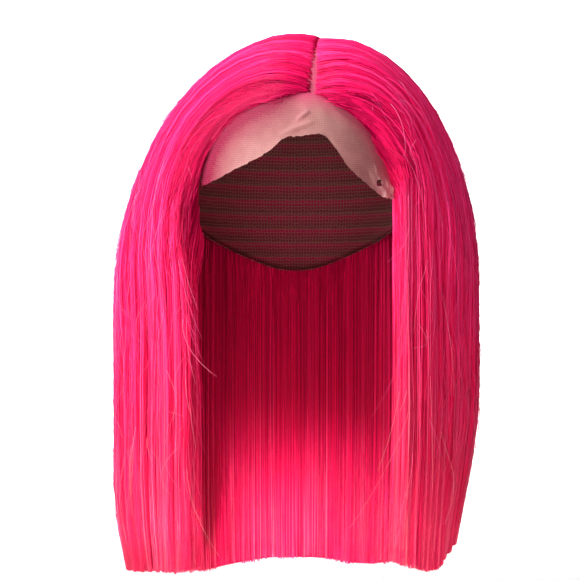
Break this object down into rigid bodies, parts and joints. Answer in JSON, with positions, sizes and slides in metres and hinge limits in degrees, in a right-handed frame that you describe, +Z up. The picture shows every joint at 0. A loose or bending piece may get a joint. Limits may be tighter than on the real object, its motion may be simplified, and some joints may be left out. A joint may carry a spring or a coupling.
{
  "type": "lace-front hair wig",
  "caption": "Straight shoulder-length hot-pink wig with an off-centre parting: a net cap, a trimmed sheer lace front and long hair in locks, in the form it has when worn.",
  "frame": {"origin": "the inside of the cap's crown, where the top of a head touches it", "axes": "+Z up, -Y out of the face opening, +X to the right of someone who looks into the face opening"},
  "size_m": [0.246, 0.2041, 0.3649],
  "materials": {
    "hair": "straight human hair dyed hot pink, glossy along the strands",
    "lace": "sheer skin-tone lace, matt, with a cut edge",
    "cap_net": "stretch net with sewn rows, matt brown"
  },
  "bodies": {
    "root": {"cap": "cap_net", "lace_front": "lace", "hair_left": "hair", "hair_right": "hair", "hair_back": "hair"}
  },
  "joints": []
}
